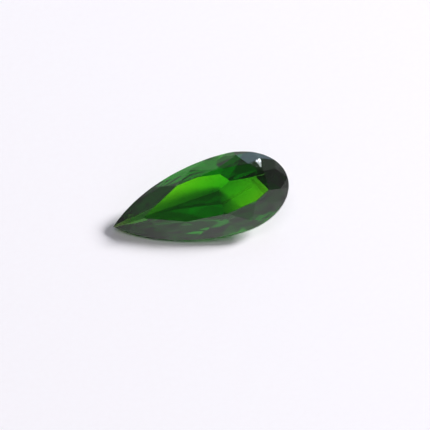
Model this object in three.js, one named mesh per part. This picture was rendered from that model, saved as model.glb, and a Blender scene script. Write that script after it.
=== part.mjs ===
// A pear-cut chrome diopside: one clear green crystal, cut and polished, resting on a flank of its pavilion.
// Millimetres and degrees. +Z is up, and the stone's length lies along X, with its tip towards -X.
// The stone is laid out girdle level first: tip at x = 0, head at x = LENGTH, table up, the girdle's
// upper edge at z = 0. Every facet is a plane, as the cutter's lap leaves it, and the stone is what
// all the planes leave standing.
import * as THREE from "three";
import { ConvexGeometry } from "three/addons/geometries/ConvexGeometry.js";

// Outline, seen from above the table.
const LENGTH = 12.0;
const WIDTH = 5.55;
const BELLY_AT = 0.68 * LENGTH; // where the pear is widest
const FLANK_REACH = 1.25; // the flank is an ellipse arc of this many belly distances, so the tip stays blunt

// Heights above and below the girdle.
const CROWN_HEIGHT = 0.115 * WIDTH;
const GIRDLE_THICKNESS = 0.035 * WIDTH;
const PAVILION_DEPTH = 0.475 * WIDTH;

// Crown main facets along the far and the near side, tip to head: where each stands, as a share of
// the side, and its slope. The last one of the far side stands at the head and serves both.
const FAR_CROWN = [
  { share: 0.135, slope: 24.75 },
  { share: 0.305, slope: 31.75 },
  { share: 0.465, slope: 30.5 },
  { share: 0.675, slope: 32.5 },
  { share: 0.83, slope: 29.25 },
  { share: 1, slope: 24.5 },
];
const NEAR_CROWN = [
  { share: 0.135, slope: 30.25 },
  { share: 0.305, slope: 29.5 },
  { share: 0.465, slope: 26.25 },
  { share: 0.675, slope: 25.5 },
  { share: 0.83, slope: 28.5 },
];
const STAR_RISE = 0.43; // how far up the crown the star facets' tips stand
const TIP_RIDGE_RISE = 0.97; // how far up the crown the tip's two sides meet on the centre line

// Pavilion main facets, likewise: the share, and how many degrees steeper each is than the plane that
// would just touch the culet. A hand-cut stone differs from side to side.
const FAR_PAVILION = [
  { share: 0.165, steeper: -5.5 },
  { share: 0.335, steeper: -1 },
  { share: 0.53, steeper: 6.25 },
  { share: 0.585, steeper: -4 },
  { share: 0.695, steeper: -5.5 },
  { share: 0.8, steeper: 0 },
  { share: 0.885, steeper: 4.25 },
  { share: 1, steeper: 4.25 },
];
const NEAR_PAVILION = [
  { share: 0.195, steeper: -2.75 },
  { share: 0.4, steeper: 0.75 },
  { share: 0.475, steeper: 7.25 },
  { share: 0.605, steeper: 0.75 },
  { share: 0.685, steeper: -7.5 },
  { share: 0.795, steeper: -5 },
  { share: 0.935, steeper: -0.25 },
];
const BELLY_MAIN = 3; // the pavilion main at the belly, where the lower girdle facets change their depth
const FAR_HALF_DROPS = { flank: 0.85, head: 0.56 }; // how far down the pavilion the lower girdle facets run
const NEAR_HALF_DROPS = { flank: 0.33, head: 0.65 };
const TIP_KEEL_DROP = 0.2; // how far down the pavilion the tip's two sides meet on the centre line
const CULET_AT = 0.685 * LENGTH;
const CULET_ASIDE = 0.175 * WIDTH; // the culet is cut off centre, away from the side that the stone rests on
const RESTING_MAIN = 1; // the stone lies on this pavilion main of its near side

const GIRDLE_FLATS = 2; // flats between neighbouring meet points of the girdle
const LEAST_FLAT = 0.004; // meet points closer than this share of the side are taken as one

const SAME_POINT = 0.002;
const ON_PLANE = 1e-7;
const HEART = new THREE.Vector3(BELLY_AT, 0, -GIRDLE_THICKNESS);
const CENTRE_PLANE = new THREE.Plane(new THREE.Vector3(0, 1, 0), 0);

const radians = THREE.MathUtils.degToRad;

// The pear's flank and its half-round head, from tip (share 0) to head (share 1), with the way outward.
function outline(share, side) {
  const tipTurn = Math.asin(1 / FLANK_REACH);
  const halfWidth = WIDTH / 2;
  const flankDrop = halfWidth / (1 - Math.cos(tipTurn));
  const point = new THREE.Vector3();
  const outward = new THREE.Vector3();
  if (share < 0.5) {
    const turn = tipTurn * (1 - 2 * share);
    const reach = BELLY_AT * FLANK_REACH;
    point.set(BELLY_AT - reach * Math.sin(turn), halfWidth - flankDrop * (1 - Math.cos(turn)), 0);
    outward.set(-flankDrop * Math.sin(turn), reach * Math.cos(turn), 0);
  } else {
    const turn = (share - 0.5) * Math.PI;
    const reach = LENGTH - BELLY_AT;
    point.set(BELLY_AT + reach * Math.sin(turn), halfWidth * Math.cos(turn), 0);
    outward.set(halfWidth * Math.sin(turn), reach * Math.cos(turn), 0);
  }
  point.y *= side;
  outward.y *= side;
  return { share, side, point, outward: outward.normalize() };
}

// Places once around the stone, up the far side from the tip and back down the near one.
// The first is the tip itself, number 0, and the rest are numbered along their side.
function ringOf(farMains, nearMains) {
  const placed = (side) => (main, i) => ({ ...main, number: i + 1, ...outline(main.share, side) });
  const tip = { number: 0, ...outline(0, 1) };
  return [tip, ...farMains.map(placed(1)), ...nearMains.map(placed(-1)).reverse()];
}

// A plane through three points, facing out of the stone.
function through(a, b, c) {
  const plane = new THREE.Plane().setFromCoplanarPoints(a, b, c);
  return plane.distanceToPoint(HEART) > 0 ? plane.negate() : plane;
}

function leaning(outward, rise, point) {
  const normal = new THREE.Vector3(outward.x, outward.y, rise).normalize();
  return new THREE.Plane().setFromNormalAndCoplanarPoint(normal, point);
}

function levelPlane(height) {
  return new THREE.Plane(new THREE.Vector3(0, 0, 1), -height);
}

function normalRows(a, b, c) {
  return new THREE.Matrix3().set(...a.normal.toArray(), ...b.normal.toArray(), ...c.normal.toArray());
}

// The point that three planes share.
function meetPoint(a, b, c) {
  const fromOrigin = new THREE.Vector3(-a.constant, -b.constant, -c.constant);
  return fromOrigin.applyMatrix3(normalRows(a, b, c).invert());
}

function atHeight(point, height) {
  return new THREE.Vector3(point.x, point.y, height);
}

// Where two neighbouring main facets meet. The tip has no main facet, so the facet beside it is met
// on the stone's centre line, at a height of its own.
function cornerBetween(before, after, height, tipHeight) {
  if (before && after) return meetPoint(before, after, levelPlane(height));
  return meetPoint(before ?? after, CENTRE_PLANE, levelPlane(tipHeight));
}

// The two narrow facets that run from a corner to the girdle between two neighbouring places.
function girdlePair(here, next, corner, height) {
  const side = here.side < 0 || next.side < 0 ? -1 : 1;
  const middle = atHeight(outline((here.share + next.share) / 2, side).point, height);
  return [
    through(atHeight(here.point, height), middle, corner),
    through(middle, atHeight(next.point, height), corner),
  ];
}

// Table, main facets, stars and upper girdle facets.
function crownFacets(ring) {
  const runPerRise = ({ slope }) => 1 / Math.tan(radians(slope));
  const mains = ring.map((place) => (
    place.number > 0 ? leaning(place.outward, runPerRise(place), place.point) : null));
  const tableCorners = ring.map((place) =>
    atHeight(place.point, CROWN_HEIGHT).addScaledVector(place.outward, -CROWN_HEIGHT * runPerRise(place)));
  const starTip = STAR_RISE * CROWN_HEIGHT;
  const ridgeEnd = TIP_RIDGE_RISE * CROWN_HEIGHT;
  const facets = [levelPlane(CROWN_HEIGHT), ...mains.slice(1)];
  ring.forEach((here, i) => {
    const j = (i + 1) % ring.length;
    const corner = cornerBetween(mains[i], mains[j], starTip, ridgeEnd);
    if (mains[i] && mains[j]) facets.push(through(tableCorners[i], tableCorners[j], corner));
    facets.push(...girdlePair(here, ring[j], corner, 0));
  });
  return facets;
}

// Each main facet leans until it touches the culet, and then a few degrees more or less.
function pavilionMains(ring) {
  const bottom = -GIRDLE_THICKNESS;
  const culet = new THREE.Vector3(CULET_AT, CULET_ASIDE, bottom - PAVILION_DEPTH);
  return ring.map(({ outward, point, number, steeper }) => {
    if (number === 0) return null;
    const run = new THREE.Vector3().subVectors(point, culet).dot(outward);
    const slope = Math.atan2(PAVILION_DEPTH, run) + radians(steeper);
    return leaning(outward, -1 / Math.tan(slope), atHeight(point, bottom));
  });
}

// Lower girdle facets, in pairs between the pavilion's main facets.
function lowerGirdleFacets(ring, mains) {
  const bottom = -GIRDLE_THICKNESS;
  return ring.flatMap((here, i) => {
    const next = ring[(i + 1) % ring.length];
    const drops = here.side < 0 || next.side < 0 ? NEAR_HALF_DROPS : FAR_HALF_DROPS;
    const onFlank = Math.min(here.number, next.number) < BELLY_MAIN;
    const foot = bottom - (onFlank ? drops.flank : drops.head) * PAVILION_DEPTH;
    const tipFoot = bottom - TIP_KEEL_DROP * PAVILION_DEPTH;
    const corner = cornerBetween(mains[i], mains[(i + 1) % ring.length], foot, tipFoot);
    return girdlePair(here, next, corner, bottom);
  });
}

// Shares of one side where a crown or pavilion facet ends on the girdle.
function meetShares(ring, side) {
  const ends = ring.filter((place) => place.side === side || place.number === 0 || place.share === 1);
  const shares = ends.map(({ share }) => share).sort((a, b) => a - b);
  return shares.flatMap((share, i) => [share, (share + (shares[i - 1] ?? 0)) / 2]);
}

// The girdle: narrow upright flats that follow the outline from meet point to meet point.
function girdleFacets(rings) {
  const facets = [];
  for (const side of [1, -1]) {
    const inOrder = rings.flatMap((ring) => meetShares(ring, side)).sort((a, b) => a - b);
    const stops = inOrder.filter((share, i) => i === 0 || share - inOrder[i - 1] > LEAST_FLAT);
    stops[stops.length - 1] = 1;
    for (let i = 1; i < stops.length; i += 1) {
      for (let step = 0; step < GIRDLE_FLATS; step += 1) {
        const start = THREE.MathUtils.lerp(stops[i - 1], stops[i], step / GIRDLE_FLATS);
        const end = THREE.MathUtils.lerp(stops[i - 1], stops[i], (step + 1) / GIRDLE_FLATS);
        const foot = outline(start, side).point;
        facets.push(through(foot, outline(end, side).point, atHeight(foot, -WIDTH)));
      }
    }
  }
  return facets;
}

// Every point where three facets meet and no other facet has cut it away.
function cornersOf(facets) {
  const corners = [];
  for (let i = 0; i < facets.length; i += 1) {
    for (let j = i + 1; j < facets.length; j += 1) {
      for (let k = j + 1; k < facets.length; k += 1) {
        const trio = [facets[i], facets[j], facets[k]];
        if (Math.abs(normalRows(...trio).determinant()) < ON_PLANE) continue;
        const corner = meetPoint(...trio);
        const left = facets.every((facet) => facet.distanceToPoint(corner) < ON_PLANE * WIDTH);
        if (left && corners.every((other) => other.distanceTo(corner) > SAME_POINT)) corners.push(corner);
      }
    }
  }
  return corners;
}

// Turns the resting facet down and the stone's length along X, then sets the stone on z = 0.
function laidDown(geometry, restingFacet) {
  const up = new THREE.Vector3(0, 0, 1);
  const turn = new THREE.Quaternion().setFromUnitVectors(restingFacet.normal, up.clone().negate());
  const heading = new THREE.Vector3(1, 0, 0).applyQuaternion(turn);
  const yaw = new THREE.Quaternion().setFromAxisAngle(up, -Math.atan2(heading.y, heading.x));
  const posed = new THREE.Quaternion().multiplyQuaternions(yaw, turn);
  const box = new THREE.Box3().setFromBufferAttribute(
    geometry.clone().applyQuaternion(posed).getAttribute("position"));
  const centre = box.getCenter(new THREE.Vector3());
  return { turn: posed, shift: new THREE.Vector3(-centre.x, -centre.y, -box.min.z) };
}

const crownRing = ringOf(FAR_CROWN, NEAR_CROWN);
const pavilionRing = ringOf(FAR_PAVILION, NEAR_PAVILION);
const pavilion = pavilionMains(pavilionRing);
const facets = [
  ...crownFacets(crownRing), ...pavilion.slice(1), ...lowerGirdleFacets(pavilionRing, pavilion),
  ...girdleFacets([crownRing, pavilionRing]),
];
const restingFacet = pavilion[pavilionRing.length - RESTING_MAIN];

const clearGreen = new THREE.MeshStandardMaterial({ color: 0x2c6a1c, roughness: 0.04, metalness: 0 });
const cut = new ConvexGeometry(cornersOf(facets));
const gem = new THREE.Mesh(cut, clearGreen);
gem.name = "pear_cut_gem";
const resting = laidDown(cut, restingFacet);
gem.quaternion.copy(resting.turn);
gem.position.copy(resting.shift);

const stone = new THREE.Group();
stone.name = "chrome_diopside";
stone.add(gem);

export default stone;
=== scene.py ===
"""A pear-cut chrome diopside on white paper, under a soft light tent. Metres, +Z up, tip towards -X."""
import math

import bmesh
import bpy
from mathutils import Matrix, Vector


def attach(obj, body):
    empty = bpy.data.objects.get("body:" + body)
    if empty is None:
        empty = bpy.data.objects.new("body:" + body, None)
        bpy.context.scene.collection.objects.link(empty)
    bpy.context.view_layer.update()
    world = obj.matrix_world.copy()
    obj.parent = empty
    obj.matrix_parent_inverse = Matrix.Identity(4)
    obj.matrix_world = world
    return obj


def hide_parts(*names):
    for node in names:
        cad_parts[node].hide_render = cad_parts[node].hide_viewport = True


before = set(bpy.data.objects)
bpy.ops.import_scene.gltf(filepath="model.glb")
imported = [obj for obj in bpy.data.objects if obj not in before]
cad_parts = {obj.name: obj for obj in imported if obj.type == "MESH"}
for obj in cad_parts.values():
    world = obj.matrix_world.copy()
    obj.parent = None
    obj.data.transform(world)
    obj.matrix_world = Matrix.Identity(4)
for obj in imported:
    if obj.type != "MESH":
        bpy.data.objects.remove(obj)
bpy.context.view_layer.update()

MM = 0.001

# Camera: its place round the stone, in degrees, and how wide a strip of the scene the picture shows.
CAMERA_AZIMUTH = -9.2
CAMERA_ELEVATION = 48.6
CAMERA_ROLL = -2.05
CAMERA_DISTANCE = 380 * MM
PICTURE_WIDTH = 28.4 * MM
SENSOR_WIDTH = 36.0
AIM = Vector((0.71 * MM, -1.4 * MM, 1.5 * MM))

# Stone.
EDGE_WEAR = 0.018 * MM  # width of the rounding that polishing leaves on the facet edges
FACET_ANGLE = 0.2  # degrees: mesh faces closer than this are one facet
SHARP_EDGE = 12.0  # degrees: the girdle's own narrow flats meet more softly and stay as they are
GIRDLE_LEAN = 0.02  # the girdle's flats stand square to the table, to within this cosine
GIRDLE_ROUGHNESS = 0.3
WORN_EDGE_ROUGHNESS = 0.12
POLISH_HAZE = 0.03  # roughness where the lap's polish is least even
POLISH_PATCH = 0.9 * MM  # size of the patches in which the polish varies
TRIANGLES_TOUCH = 0.0002 * MM

# Paper.
PAPER_HALF = 1500 * MM
PAPER_TOOTH = 0.01 * MM  # the stone touches only the tops of the paper's fibres
PAPER_FIBRE = 0.4 * MM


def linear(hex_colour):
    """sRGB hex to linear red, green, blue and alpha."""
    channels = [int(hex_colour[i:i + 2], 16) / 255 for i in (1, 3, 5)]
    return tuple(c / 12.92 if c <= 0.04045 else ((c + 0.055) / 1.055) ** 2.4 for c in channels) + (1.0,)


def add_node(tree, kind, settings=None, values=None, links=None):
    """Adds one node. settings are its properties, values its unlinked inputs, links its linked ones."""
    node = tree.nodes.new(kind)
    for name, value in (settings or {}).items():
        setattr(node, name, value)
    for name, value in (values or {}).items():
        node.inputs[name].default_value = value
    for name, output in (links or {}).items():
        tree.links.new(output, node.inputs[name])
    return node


def new_material(name):
    material = bpy.data.materials.new(name)
    material.use_nodes = True
    material.node_tree.nodes.clear()
    return material, material.node_tree


# Clear diopside: refractive index 1.68, coloured through its depth by chromium.
DIOPSIDE_IOR = 1.68
DIOPSIDE_TINT = (0.65, 0.917, 0.031, 1.0)  # what is left of each colour sets how fast it is absorbed
DIOPSIDE_DENSITY = 3500.0  # per metre, for a colour that the tint takes away whole


def polished_diopside():
    """Cut and lap-polished: near-mirror facets, worn a little on their edges, and a finely ground girdle."""
    material, tree = new_material("Clear diopside, polished facets and ground girdle")
    place = add_node(tree, "ShaderNodeTexCoord")
    matt = add_node(tree, "ShaderNodeAttribute", {"attribute_name": "matt"})
    haze = add_node(tree, "ShaderNodeTexNoise", values={"Scale": 1 / POLISH_PATCH, "Detail": 3.0},
                    links={"Vector": place.outputs["Object"]})
    polish = add_node(tree, "ShaderNodeMapRange", values={"To Min": 0.0, "To Max": POLISH_HAZE},
                      links={"Value": haze.outputs["Fac"]})
    roughness = add_node(tree, "ShaderNodeMath", {"operation": "MAXIMUM"},
                         links={0: polish.outputs["Result"], 1: matt.outputs["Fac"]})
    surface = add_node(tree, "ShaderNodeBsdfPrincipled",
                       values={"Base Color": linear("#ffffff"), "IOR": DIOPSIDE_IOR,
                               "Transmission Weight": 1.0},
                       links={"Roughness": roughness.outputs["Value"]})
    inside = add_node(tree, "ShaderNodeVolumeAbsorption",
                      values={"Color": DIOPSIDE_TINT, "Density": DIOPSIDE_DENSITY})
    add_node(tree, "ShaderNodeOutputMaterial",
             links={"Surface": surface.outputs["BSDF"], "Volume": inside.outputs["Volume"]})
    return material


def white_paper():
    """Uncoated white paper: matt, with a tooth too fine to see."""
    material, tree = new_material("White paper, uncoated")
    place = add_node(tree, "ShaderNodeTexCoord")
    fibre = add_node(tree, "ShaderNodeTexNoise", values={"Scale": 1 / PAPER_FIBRE, "Detail": 4.0},
                     links={"Vector": place.outputs["Object"]})
    colour = add_node(tree, "ShaderNodeMix", {"data_type": "RGBA"}, links={0: fibre.outputs["Fac"]})
    colour.inputs[6].default_value = linear("#f8f4fa")
    colour.inputs[7].default_value = linear("#fbf8fe")
    surface = add_node(tree, "ShaderNodeBsdfPrincipled",
                       values={"Roughness": 0.9, "Specular IOR Level": 0.2},
                       links={"Base Color": colour.outputs[2]})
    add_node(tree, "ShaderNodeOutputMaterial", links={"Surface": surface.outputs["BSDF"]})
    return material


def cut_stone():
    """The stone's own facets as single faces, with the rounding that wear leaves along their edges."""
    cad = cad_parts["pear_cut_gem"]
    mesh = cad.data.copy()
    mesh.transform(cad.matrix_world)
    shape = bmesh.new()
    shape.from_mesh(mesh)
    bmesh.ops.remove_doubles(shape, verts=shape.verts, dist=TRIANGLES_TOUCH)
    bmesh.ops.dissolve_limit(shape, angle_limit=math.radians(FACET_ANGLE),
                             verts=shape.verts, edges=shape.edges)
    matt = shape.faces.layers.float.new("matt")
    table = max(shape.faces, key=lambda face: face.calc_area()).normal.copy()
    for face in shape.faces:
        face[matt] = GIRDLE_ROUGHNESS if abs(face.normal.dot(table)) < GIRDLE_LEAN else 0.0
    sharp = [e for e in shape.edges if e.calc_face_angle() > math.radians(SHARP_EDGE)]
    worn = bmesh.ops.bevel(shape, geom=sharp, offset=EDGE_WEAR / 2, segments=1, affect="EDGES",
                           profile=0.5)
    for face in worn["faces"]:
        face[matt] = WORN_EDGE_ROUGHNESS
    bmesh.ops.recalc_face_normals(shape, faces=shape.faces)
    shape.to_mesh(mesh)
    shape.free()
    mesh.shade_flat()
    mesh.name = "polished_gem"
    mesh.materials.clear()
    mesh.materials.append(polished_diopside())
    piece = bpy.data.objects.new("polished_gem", mesh)
    bpy.context.scene.collection.objects.link(piece)
    return piece


def paper_floor():
    """A wide sheet of the paper, just under the stone."""
    mesh = bpy.data.meshes.new("paper_floor")
    signs = ((-1, -1), (1, -1), (1, 1), (-1, 1))
    corners = [(x * PAPER_HALF, y * PAPER_HALF, -PAPER_TOOTH) for x, y in signs]
    mesh.from_pydata(corners, [], [(0, 1, 2, 3)])
    mesh.materials.append(white_paper())
    floor = bpy.data.objects.new("paper_floor", mesh)
    bpy.context.scene.collection.objects.link(floor)


# Light tent: brightness of its walls, seen from the stone, and of its dark top.
TENT_NEAR = 1.19
TENT_FAR = 0.82
TENT_LEFT = 0.06
TENT_RIGHT = 1.2
TENT_TOP = 0.11
TENT_TOP_STARTS = 25.0  # degrees above the paper
TENT_TOP_FULL = 64.0
RAMP_CEILING = 2.0  # the ramp's colours stay under 1, so its result is multiplied by this
SOFT_BOX_DISTANCE = 1.0
TENT_ON_PAPER = 0.35  # share of the tent's light that falls on the paper; the soft boxes give the rest


def light_tent():
    """Walls of white cloth: bright in front of the stone, dimmer round it, dark overhead."""
    world = bpy.data.worlds.new("light_tent")
    bpy.context.scene.world = world
    world.use_nodes = True
    tree = world.node_tree
    tree.nodes.clear()
    way = add_node(tree, "ShaderNodeTexCoord")
    parts = add_node(tree, "ShaderNodeSeparateXYZ", links={0: way.outputs["Generated"]})
    bearing = add_node(tree, "ShaderNodeMath", {"operation": "ARCTAN2"},
                       links={0: parts.outputs["Y"], 1: parts.outputs["X"]})
    share = add_node(tree, "ShaderNodeMapRange",
                     values={"From Min": -math.pi, "From Max": math.pi, "To Min": 0.0, "To Max": 1.0},
                     links={"Value": bearing.outputs["Value"]})
    walls = add_node(tree, "ShaderNodeValToRGB", links={"Fac": share.outputs["Result"]})
    ramp = walls.color_ramp
    ramp.interpolation = "EASE"
    stops = [(0.0, TENT_LEFT), (0.25, TENT_NEAR), (0.5, TENT_RIGHT), (0.75, TENT_FAR), (1.0, TENT_LEFT)]
    while len(ramp.elements) < len(stops):
        ramp.elements.new(0.5)
    for element, (position, brightness) in zip(ramp.elements, stops):
        element.position = position
        element.color = (brightness / RAMP_CEILING,) * 3 + (1.0,)
    height = add_node(tree, "ShaderNodeMath", {"operation": "ARCSINE"}, links={0: parts.outputs["Z"]})
    overhead = add_node(tree, "ShaderNodeMapRange", {"interpolation_type": "SMOOTHSTEP"},
                        values={"From Min": math.radians(TENT_TOP_STARTS),
                                "From Max": math.radians(TENT_TOP_FULL)},
                        links={"Value": height.outputs["Value"]})
    cloth = add_node(tree, "ShaderNodeMix", {"data_type": "RGBA"},
                     links={0: overhead.outputs["Result"], 6: walls.outputs["Color"]})
    cloth.inputs[7].default_value = (TENT_TOP / RAMP_CEILING,) * 3 + (1.0,)
    path = add_node(tree, "ShaderNodeLightPath")
    strength = add_node(tree, "ShaderNodeMapRange",
                        values={"To Min": RAMP_CEILING, "To Max": RAMP_CEILING * TENT_ON_PAPER},
                        links={"Value": path.outputs["Is Diffuse Ray"]})
    glow = add_node(tree, "ShaderNodeBackground",
                    links={"Color": cloth.outputs[2], "Strength": strength.outputs["Result"]})
    add_node(tree, "ShaderNodeOutputWorld", links={"Surface": glow.outputs["Background"]})
    world.cycles.sampling_method = "NONE"


def soft_light(name, azimuth, elevation, across, brightness, colour="#ffffff", mirrored=False):
    """A square light aimed at the stone, so many degrees across as seen from it.
    One that isn't mirrored lights the paper but leaves no reflection."""
    lamp = bpy.data.lights.new(name, "AREA")
    lamp.shape = "SQUARE"
    lamp.size = 2 * SOFT_BOX_DISTANCE * math.tan(math.radians(across / 2))
    lamp.energy = brightness * math.pi * lamp.size ** 2
    lamp.color = linear(colour)[:3]
    box = bpy.data.objects.new(name, lamp)
    box.location = AIM + SOFT_BOX_DISTANCE * towards(azimuth, elevation)
    box.rotation_euler = (AIM - box.location).to_track_quat("-Z", "Y").to_euler()
    box.visible_camera = False
    box.visible_glossy = mirrored
    box.visible_transmission = mirrored
    bpy.context.scene.collection.objects.link(box)


def soft_boxes():
    """Two that light the paper, and a window and a small lamp that the far crown facets mirror."""
    soft_light("key", azimuth=106, elevation=27, across=14, brightness=85)
    soft_light("top", azimuth=0, elevation=85, across=33, brightness=1.2)
    soft_light("window", azimuth=160, elevation=36, across=22, brightness=1.0, colour="#a9d4ff",
               mirrored=True)
    soft_light("lamp", azimuth=149.6, elevation=53.0, across=0.08, brightness=28, colour="#f4f8ff",
               mirrored=True)


def towards(azimuth, elevation):
    """The way out from the stone: azimuth 0 is -Y, the camera's side, and 90 is +X."""
    turn = math.radians(azimuth)
    rise = math.radians(elevation)
    return Vector((math.sin(turn) * math.cos(rise), -math.cos(turn) * math.cos(rise), math.sin(rise)))


def camera():
    """A long lens from the photograph's side and height."""
    lens = bpy.data.cameras.new("camera")
    lens.sensor_width = SENSOR_WIDTH
    lens.lens = SENSOR_WIDTH * CAMERA_DISTANCE / PICTURE_WIDTH
    lens.clip_start = 10 * MM
    eye = bpy.data.objects.new("camera", lens)
    eye.location = AIM + CAMERA_DISTANCE * towards(CAMERA_AZIMUTH, CAMERA_ELEVATION)
    level = (AIM - eye.location).to_track_quat("-Z", "Y").to_matrix()
    eye.rotation_euler = (level @ Matrix.Rotation(math.radians(CAMERA_ROLL), 3, "Z")).to_euler()
    bpy.context.scene.collection.objects.link(eye)
    bpy.context.scene.camera = eye


def true_colours():
    """Light paths long enough for the reflections inside the stone, and colours shown as they are."""
    scene = bpy.context.scene
    scene.view_settings.view_transform = "Standard"
    scene.cycles.max_bounces = 24
    scene.cycles.glossy_bounces = 20
    scene.cycles.transmission_bounces = 20
    scene.cycles.blur_glossy = 0.3
    scene.cycles.use_denoising = True


gem = cut_stone()
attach(gem, "root")
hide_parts("pear_cut_gem")

paper_floor()
light_tent()
soft_boxes()
camera()
true_colours()
